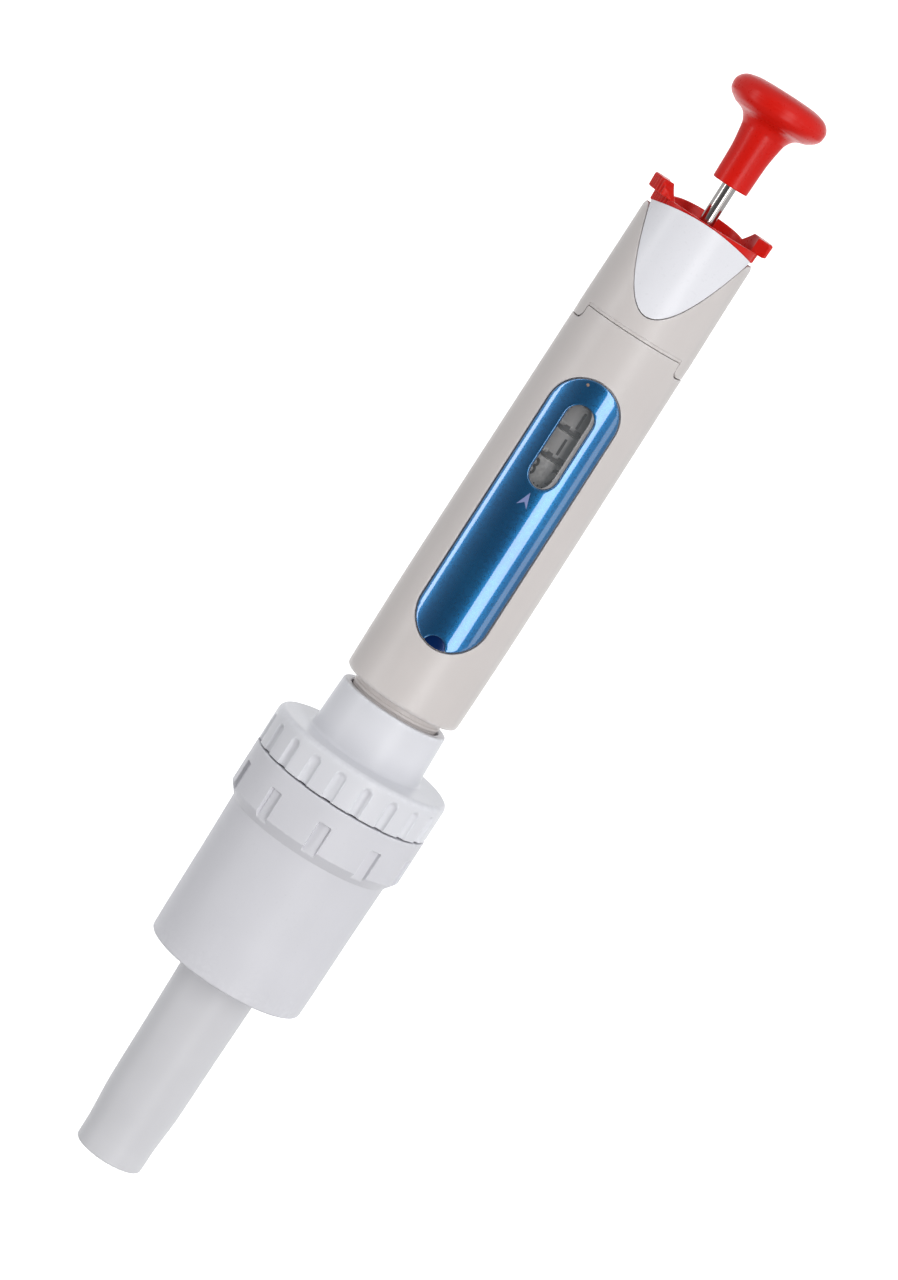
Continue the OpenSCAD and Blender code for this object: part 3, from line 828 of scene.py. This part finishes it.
def drum_body(i, name, node, body, r_in):
    b = Build()
    z0 = DRUM_Z[i]
    z1 = z0 + DRUM_TALL
    prof = fillet([(r_in, z0), (DRUM_R, z0, 0.12), (DRUM_R, z1, 0.12), (7.2, z1, 0.05), (7.2, z0 + 1.5, 0.1),
                   (6.6, z0 + 1.5, 0.1), (6.6, z1, 0.05), (r_in, z1)], 3, True)
    if i == 0:
        lathe(b, prof, even(120), True)
    else:
        prof = dense(prof, 0.5, True)
        cols = pattern(20, [0, 2.2, 3.4, 3.75, 4.0, 4.25, 4.6, 6, 7.6])

        def teeth(r, z, a):
            q = abs((a + TOOTH / 2) % TOOTH - TOOTH / 2)
            cut = max(0.0, min(1.0, (4.25 - q) / 0.5)) * max(0.0, min(1.0, (z0 + 1.5 - z) / 0.12 + 1))
            return (min(r, DRUM_R - 0.35 * cut), z)
        lathe(b, prof, cols, True, teeth)
    b.piece(name, body, "drum_plastic", [node])


def gear_band(i, name, body):
    """The near-black toothed band round a drum's lower edge, with square teeth that point up."""
    b = Build()
    z0 = DRUM_Z[i]
    pts = []
    for k in range(20):
        c = TOOTH * (k + 0.5)
        pts += [(c - 9, 0.9), (c - 4.4, 0.9, 0.06), (c - 4.0, 1.55, 0.1), (c + 4.0, 1.55, 0.1),
                (c + 4.4, 0.9, 0.06)]
    pts.append((360.0, 0.9))
    arc = math.radians(1) * DRUM_R
    high = dense(fillet([(p[0] * arc, z0 + p[1]) + tuple(p[2:]) for p in pts], 3), 0.35)
    high = np.array(high) - (math.pi * DRUM_R, 0)
    low = np.array([(u, z0 + 0.1) for u in np.linspace(-math.pi * DRUM_R, math.pi * DRUM_R, 181)])
    loop = np.array(list(map(tuple, low)) + list(map(tuple, high[::-1])))
    for depth in (-0.05, 0.02):
        fill(drum_skin, b, loop, [], depth, 0.35, 0.35, 0.12)
    for chain in (low, high):
        strip(drum_skin, b, [(chain, -0.05), (chain, 0.02)], closed=False)
    band_black = plastic("gear_band_grey", (0.055, 0.05, 0.048), 0.5, 0.1, 0.4, 5200)
    b.piece(name, body, ("drum_plastic", band_black), weld=0.0008)


def flat_digit(digit):
    """One digit as a flat bmesh with no long edges, so that it bends round the drum."""
    cu = bpy.data.curves.new("digit", "FONT")
    cu.body = str(digit)
    cu.size = 5.6
    cu.resolution_u = 6
    cu.offset = 0.09
    cu.align_x = "CENTER"
    ob = new_object("digit", cu)
    bpy.context.view_layer.update()
    me = bpy.data.meshes.new_from_object(ob.evaluated_get(bpy.context.evaluated_depsgraph_get()))
    bpy.data.objects.remove(ob)
    bpy.data.curves.remove(cu)
    bm = bmesh.new()
    bm.from_mesh(me)
    bpy.data.meshes.remove(me)
    bmesh.ops.triangulate(bm, faces=bm.faces)
    bmesh.ops.remove_doubles(bm, verts=bm.verts, dist=0.002)
    for _ in range(4):
        long = [e for e in bm.edges if e.calc_length() > 0.4]
        if not long:
            break
        bmesh.ops.subdivide_edges(bm, edges=long, cuts=1)
        bmesh.ops.triangulate(bm, faces=[f for f in bm.faces if len(f.verts) > 3])
    return bm


def numerals(i, name, body, first, shift, ticks=0):
    """Digits 0 to 9 round a drum. first is the digit nearest the front, and shift its place in degrees."""
    b = Build()
    z0 = DRUM_Z[i] + (1.7 if i else 1.9)
    proud, sunk = -0.03, 0.01
    for k in range(10):
        bm = flat_digit((first + k) % 10)
        low_y = min(v.co.y for v in bm.verts)
        turn = math.radians(shift - 36.0 * k) * DRUM_R
        uv = [(v.co.x * 0.8 + turn, z0 + (v.co.y - low_y) * 0.98) for v in bm.verts]
        n = len(uv)
        faces = [tuple(v.index for v in f.verts) for f in bm.faces]
        rim = [(e.verts[0].index, e.verts[1].index) for e in bm.edges if e.is_boundary]
        b.add(list(drum_skin.at(uv, proud)) + list(drum_skin.at(uv, sunk)),
              faces + [tuple(n + j for j in f[::-1]) for f in faces] + [(p, q, q + n, p + n) for p, q in rim])
        bm.free()
    half_wide, tall, low = 0.15, 0.75, z0 - 1.6
    for k in range(ticks):
        u = math.radians(360.0 * k / ticks + shift) * DRUM_R
        loop = np.array([(u - half_wide, low), (u + half_wide, low),
                         (u + half_wide, low + tall), (u - half_wide, low + tall)])
        face = offset(loop, -0.04)
        strip(drum_skin, b, [(face, -0.04), (loop, -0.02), (loop, sunk)])
        b.add(drum_skin.at(face, -0.04), [(0, 1, 2, 3)])
        b.add(drum_skin.at(loop, sunk), [(3, 2, 1, 0)])
    ink = plastic("drum_ink", (0.016, 0.013, 0.012), 0.6, 0.15, 0.4, 5200)
    b.piece(name, body, ("drum_plastic", ink), weld=0.0005)


# ---------------------------------------------------------------- lock ring

def lock_ring():
    """A ring with two ribbed finger tabs, lofted round the axis so that each section follows its azimuth."""
    b = Build()

    def ease(t):
        t = max(0.0, min(1.0, t))
        return t * t * (3 - 2 * t)

    def tab(a):
        """0 to 1: how much of the tab's height is reached, for an azimuth folded into one half turn."""
        a = (a - 72) % 180
        if a < 50:
            return min(1.0, ease(a / 2.2))
        if a <= 51.5:
            return 1 - 1.5 / 17 * ease((a - 50) / 1.5)
        if a < 65.5:
            return 1 - (a - 50) / 17
        return 1.5 / 17 * (1 - ease((a - 65.5) / 1.5)) if a < 67 else 0.0

    def section(a):
        t = tab(a)
        back = max(0.0, 1 - ((a - 180) / 46.0) ** 2) ** 0.5
        height = max(242.35 + 3.15 * t, 242.35 + 1.45 * back)
        lip = 13.05 + 1.75 * min(1.0, t * 1.9)
        f = (a - 72) % 180
        weight = ease((f + 1) / 3) * ease((68 - f) / 5) if f < 68 else 0.0
        rib = weight * 0.30 * (0.5 - 0.5 * math.cos(TAU * (f - 1.0) / 5.2))
        wall = 12.95 - rib * 0.9
        ledge = 242.2 + 0.1 * t
        return fillet([(6.2, 235.2), (7.2, 235.2), (8.2, 235.6, 0.1), (8.2, 236.2, 0.05), (7.4, 236.2),
                       (7.4, 240.0, 0.1), (wall - 0.1, 240.0, 0.3), (wall, ledge, 0.25 * min(1.0, t * 4) + 0.001),
                       (lip - 0.12 * t - rib * 1.25, ledge, 0.3), (lip - rib * 1.25, height, 0.42),
                       (11.75 - 0.1 * t, height, 0.3), (11.6, 240.95, 0.25), (6.2, 240.95, 0.35)], 4, True)

    cols = []
    a = 0.0
    while a < 360 - 1e-6:
        cols.append(a)
        f = (a - 66) % 180
        a += 0.4 if f < 77 else 1.2
    verts = []
    for c in cols:
        t = math.radians(c)
        verts.extend((r * math.sin(t), -r * math.cos(t), z) for r, z in section(c))
    b.add(verts, quads(len(cols), len(verts) // len(cols), over=True))
    b.piece("finger_ring", "lock", "red_plastic", ["lock_ring"], sharp=50)


# ---------------------------------------------------------------- button and rod

def push_button():
    b = Build()
    stem = [(1.7, 262), (1.7, 251.35), (1.85, 251.2)]
    stem += fillet([(2.0, 251.2), (4.2, 251.2, 0.32), (4.25, 253)], 5)[1:-1]
    side = spline([(4.24, 252.4), (4.27, 254), (4.36, 257), (4.44, 258.8), (4.62, 260.5), (4.87, 262.2),
                   (5.1, 263.6), (5.28, 264.3), (5.94, 265.5), (6.59, 266.14), (7.42, 266.56), (8.69, 266.98),
                   (9.41, 267.4), (10.32, 268.02), (10.88, 268.65), (11.21, 269.27), (11.35, 270.1),
                   (11.37, 270.33)], 6)
    part = [(11.34, 270.39), (11.36, 270.45)]
    dome = spline([(11.36, 270.5), (11.29, 271.15), (11.0, 271.78), (10.55, 272.4), (9.74, 273.03), (8.7, 273.44),
                   (6.9, 273.84), (4.6, 274.02), (2.2, 274.09), (0, 274.1)], 6)
    prof = [(0, 262)] + stem + side + part + dome
    cleaned = [prof[0]]
    for p in prof[1:]:
        if math.hypot(p[0] - cleaned[-1][0], p[1] - cleaned[-1][1]) > 0.02:
            cleaned.append(p)
    cleaned[-1] = (0, 274.1)
    lathe(b, cleaned, even(200))
    b.piece("thumb_button", "plunger", "red_plastic", ["push_button"], sharp=60)


def plunger_rod():
    b = Build()

    def flats(r, z, a):
        t = math.radians(a)
        k = max(0.0, min(1.0, (202.4 - z) / 0.3)) * max(0.0, min(1.0, (z - 159.5) / 0.3))
        s = abs(math.sin(t))
        if r > 1 and s * r > 1.4 and k > 0:
            return (r + (1.4 / s - r) * k, z)
        return (r, z)
    heights = (150, 159.5, 159.8, 170, 185, 202.1, 202.4, 220, 238, 245, 251)
    prof = [(0, 123.6)] + dense([(1.55, 123.6), (1.7, 123.75)] + [(1.7, h) for h in heights]
                                + [(1.7, 262.05), (1.55, 262.2)], 4) + [(0, 262.2)]
    lathe(b, prof, even(96), warp=flats)
    b.piece("steel_rod", "plunger", "polished_steel", ["plunger_rod"])


# ---------------------------------------------------------------- collar, cylinder and nozzle

def fluted_collar():
    b = Build()
    prof = [(11.0, 118.2), (11.0, 106.2), (10.0, 106.2), (10.0, 104.0), (18.0, 104.0), (18.0, 97.4),
            (18.2, 97.15), (20.2, 97.15)]
    prof += fillet([(20.2, 97.15), (21.25, 97.15, 0.22), (21.25, 98)], 4)[1:-1]
    prof += [(21.25, z) for z in (97.4, 98, 98.6, 99.2, 99.8, 100.4, 101, 101.6, 102.2, 102.6, 103.0, 103.4,
                                  103.7, 104.0, 104.3, 104.6)]
    prof += [(19.85 + 1.38 * math.cos(t), 104.8 + 1.4 * math.sin(t)) for t in np.linspace(0.08, math.pi / 2, 11)]
    prof += [(19.2, 106.21), (18, 106.22), (16.8, 106.22), (15.4, 106.22), (14.3, 106.23)]
    prof += spline([(13.9, 106.30), (13.6, 106.55), (13.44, 107.0), (13.36, 107.8), (13.28, 109.5),
                    (13.2, 112), (13.08, 115), (12.98, 117.3)], 4)
    prof += fillet([(12.97, 117.6), (12.9, 118.5, 0.75), (11.3, 118.5, 0.15), (11.05, 118.3)], 5)[1:]
    offs = [0, 0.9, 1.7, 2.3, 2.75, 3.1, 3.35, 3.55, 3.75, 4.0, 4.5, 5.5, 7.2, 9]
    cols = pattern(20, offs, -4.1)

    def groove(r, z, a):
        if r < 19.7 or z > 106:
            return (r, z)
        q = math.radians((a + 4.1 + 9) % 18 - 9) * 21.25
        if z > 102.75:
            q = math.hypot(q, (z - 102.75) * 1.05)
        q = abs(q)
        h = math.sqrt(1.4 * 1.4 - q * q) - 0.55 if q < 1.32 else (0.466 - 0.55) - (q - 1.32) * 2.4
        d = 0.5 * (h + math.sqrt(h * h + 0.03)) - 0.004
        if h < -1.2 or d < 0:
            d = 0.0
        return (r - d * max(0.0, min(1.0, (r - 19.7) / 1.0)), z)
    lathe(b, prof, cols, True, groove)
    b.piece("union_collar", "collar", "white_plastic", ["fluted_collar"], sharp=55)


def cylinder_body():
    b = Build()
    prof = [(9.42, 55), (9.42, 49.3), (9.7, 49)] + fillet([(10, 49), (18.85, 49, 0.6), (18.95, 60)], 6)[1:-1]
    prof += [(18.97, 55), (19.03, 62), (19.1, 70), (19.2, 76), (19.3, 81), (19.33, 82.6)]
    low = fillet([(19.33, 82.6), (19.35, 83.55, 0.12), (21.3, 86.15, 0.35), (21.3, 87.5)], 5)[1:-1]
    prof += dense(low, 0.3)
    prof += [(21.3, z) for z in (86.9, 87.6, 88.6, 89.6, 90.6, 91.3, 91.7, 91.95, 92.1, 92.2, 92.3, 92.38,
                                 92.46, 92.56, 92.7, 92.9, 93.3, 94, 95, 96)]
    prof += fillet([(21.3, 96.2), (21.3, 96.8, 0.28), (20, 96.8)], 5)[1:-1]
    prof += [(20, 96.8), (18.05, 96.8), (17.93, 96.9), (17.93, 103.0), (17.7, 103.2), (16.15, 103.2),
             (16, 103.05), (16, 90), (16, 72), (16, 55)]
    offs = [0, 1.5, 2.8, 3.4, 3.7, 3.88, 4.0, 4.1, 4.2, 4.3, 4.42, 4.6, 4.9, 5.6, 7.5, 10, 13, 18]
    cols = pattern(10, offs, 3.4)

    def slot(r, z, a):
        if r < 20.45 or z < 83 or z > 96.5:
            return (r, z)
        q = abs(math.radians((a - 3.4 + 18) % 36 - 18) * 21.3) - 1.575
        h = z - 92.4
        corner = 0.3
        if q > -corner or h > -corner:
            d = math.hypot(max(0.0, q + corner), max(0.0, h + corner)) - corner
        else:
            d = max(q, h)
        m = max(0.0, min(1.0, 0.5 - d / 0.2))
        m = m * m * (3 - 2 * m)
        return (r - m * (r - 20.45), z)
    lathe(b, prof, cols, True, slot)
    b.piece("measuring_cylinder", "cylinder", "cylinder_plastic", ["cylinder_body"], sharp=55)


def nozzle_tube():
    b = Build()
    outer = spline([(8.17, 0.6), (8.19, 2), (8.2, 4.4), (8.27, 6), (8.5, 9.5), (8.8, 13.8), (8.92, 19),
                    (8.98, 24), (9.05, 30), (9.2, 38), (9.33, 45), (9.35, 50)], 4)
    prof = [(6.4, 0.25), (6.6, 0.0)] + fillet([(6.7, 0), (8.13, 0, 0.45), (8.17, 0.6)], 6)[1:-1] + outer
    prof += [(9.35, 51.2), (8.1, 51.2), (8.1, 52.6), (9.35, 52.6), (9.35, 55.8), (9.15, 56), (6.6, 56),
             (6.4, 55.8), (6.4, 40), (6.4, 20)]
    lathe(b, prof, even(160), True)
    b.piece("tip_cone_tube", "nozzle", "nozzle_plastic", ["nozzle_tube"])


# ---------------------------------------------------------------- springs

def spring(name, node, r, wire, z0, z1, turns):
    """A closed-end coil spring as one swept tube."""
    b = Build()
    per, sides = 48, 12
    n = turns * per
    span = z1 - z0 - 2 * wire

    def rise(u):
        if u < 1:
            return 2 * wire * u
        if u > turns - 1:
            return span - 2 * wire * (turns - u)
        return 2 * wire + (span - 4 * wire) * (u - 1) / (turns - 2)
    verts = []
    for i in range(n + 1):
        t = TAU * i / per
        for k in range(sides):
            a = TAU * k / sides
            q = r + wire * math.cos(a)
            verts.append((q * math.cos(t), q * math.sin(t), z0 + wire + rise(i / per) + wire * math.sin(a)))
    ends = [tuple(range(sides))[::-1], tuple(n * sides + k for k in range(sides))]
    b.add(verts, quads(n + 1, sides) + ends)
    ob = b.piece(name, "handle", "spring_steel", [node], weighted=False)
    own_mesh(ob)


lower_barrel()
upper_barrel()
top_cap()
label_cover()
window_lens()
pointer()
gate_mark()
drum_body(0, "tenths_drum", "fine_drum", "drive", 4.3)
drum_body(1, "units_drum", "middle_drum", "middle_drum", 4.37)
drum_body(2, "tens_drum", "top_drum", "top_drum", 4.37)
gear_band(1, "units_drum_band", "middle_drum")
gear_band(2, "tens_drum_band", "top_drum")
numerals(0, "tenths_drum_digits", "drive", 3, -21, 50)
numerals(1, "units_drum_digits", "middle_drum", 1, 0)
numerals(2, "tens_drum_digits", "top_drum", 1, 4)
lock_ring()
push_button()
plunger_rod()
fluted_collar()
cylinder_body()
nozzle_tube()
spring("return_coil", "return_spring", 6.9, 0.6, 97, 122.2, 8)
spring("blowout_coil", "blowout_spring", 6.6, 0.5, 133.5, 145.6, 5)

# CAD nodes that stay visible take their slot's finish.
slot_of = {s["node"]: s["material_slot"] for s in frame["record"]["subparts"]}
for node_name, node in frame["nodes"].items():
    finish = MATS[slot_of[node_name]]
    if not node.material_slots:
        node.data.materials.append(finish)
    for held in node.material_slots:
        held.material = finish

# ---------------------------------------------------------------- stage, light and camera

scene = bpy.context.scene
scene.view_settings.view_transform = "Standard"
scene.view_settings.look = "None"


def stage():
    """A pale sweep behind and below: a floor that curves up into a backdrop that glows a little."""
    me = bpy.data.meshes.new("studio_sweep")
    low, back, rise, wide = -0.3, 1.5, 0.9, 1.1
    line = [(0.35, low), (0.9, low), (back, low)]
    line += [(back + rise * math.sin(t), low + rise * (1 - math.cos(t))) for t in np.linspace(0.1, math.pi / 2, 14)]
    line += [(back + rise, low + rise + 0.4)]
    across = (-wide, 0, wide)
    verts = [(x, y, z) for y, z in line for x in across]
    me.from_pydata(verts, [], quads(len(line), len(across), around=False))
    me.polygons.foreach_set("use_smooth", [True] * len(me.polygons))
    ob = new_object("studio_sweep", me)
    m, nt, p = new_material("studio_paper")
    paper = ramp(nt, noise(nt, 3, 2), [(0.3, (0.90, 0.90, 0.90)), (0.7, (0.94, 0.94, 0.94))])
    surface(nt, p, paper, spread(nt, noise(nt, 40, 3), 0.85, 0.95))
    nt.links.new(paper, p.inputs["Emission Color"])
    put(p, {"Emission Strength": 0.95, "Specular IOR Level": 0.1})
    me.materials.append(m)


stage()

# The camera looks down at the object's middle by ELEV and rolls by LEAN, so that the object leans.
TARGET = Vector((0.00203, 0.0, 0.13706))
ELEV = math.radians(8.6)
LEAN = math.radians(32.75)
DIST = 0.9149

forward = Vector((0, math.cos(ELEV), -math.sin(ELEV)))
level_up = (Vector((0, 0, 1)) - forward * forward.z).normalized()
level_right = forward.cross(level_up)
up = level_up * math.cos(LEAN) - level_right * math.sin(LEAN)
right = level_right * math.cos(LEAN) + level_up * math.sin(LEAN)
cam_data = bpy.data.cameras.new("camera")
cam_data.lens = 119.39
cam_data.sensor_width = 36
cam_data.clip_start = 0.01
cam_data.clip_end = 20
camera = new_object("camera", cam_data)
place = Matrix((right, up, -forward)).transposed().to_4x4()
place.translation = TARGET - forward * DIST
camera.matrix_world = place
scene.camera = camera


def studio_room():
    """The room's light: dim in front of the object and below it, lighter to the sides and above."""
    room = bpy.data.worlds.new("studio_room")
    room.use_nodes = True
    nt = room.node_tree
    co = nt.nodes.new("ShaderNodeTexCoord")
    axes = nt.nodes.new("ShaderNodeSeparateXYZ")
    nt.links.new(co.outputs["Generated"], axes.inputs[0])
    front = spread(nt, axes.outputs["Y"], 0.12, 0.66, -0.95, -0.25)
    rise = spread(nt, axes.outputs["Z"], 0.45, 1.0, -0.75, 0.0)
    m = nt.nodes.new("ShaderNodeMath")
    m.operation = "MULTIPLY"
    nt.links.new(front, m.inputs[0])
    nt.links.new(rise, m.inputs[1])
    nt.nodes["Background"].inputs[0].default_value = (0.97, 0.985, 1, 1)
    nt.links.new(m.outputs[0], nt.nodes["Background"].inputs[1])
    scene.world = room


studio_room()


def area_light(name, place, aim, size, power, colour=(1, 1, 1)):
    data = bpy.data.lights.new(name, "AREA")
    data.shape = "RECTANGLE"
    data.size, data.size_y = size
    data.energy = power
    data.color = colour
    ob = new_object(name, data)
    ob.location = place
    ob.rotation_euler = (Vector(aim) - Vector(place)).to_track_quat("-Z", "Y").to_euler()


def strip_light(name, azimuth, width, power, height=1.5, away=1.0, level=0.09):
    """A tall strip that stands beside the object, facing it, azimuth degrees from the front towards +X."""
    t = math.radians(azimuth)
    area_light(name, (away * math.sin(t), -away * math.cos(t), level), (0, 0, level), (width, height), power)


strip_light("key_strip", 28, 0.36, 8.0)
strip_light("right_strip", 56, 0.16, 1.1)
strip_light("left_strip", -62, 0.15, 3.7)
area_light("top_soft", (0.3, -0.5, 1.1), (0, 0, 0.14), (0.6, 0.6), 1.0, (0.88, 0.95, 1.0))
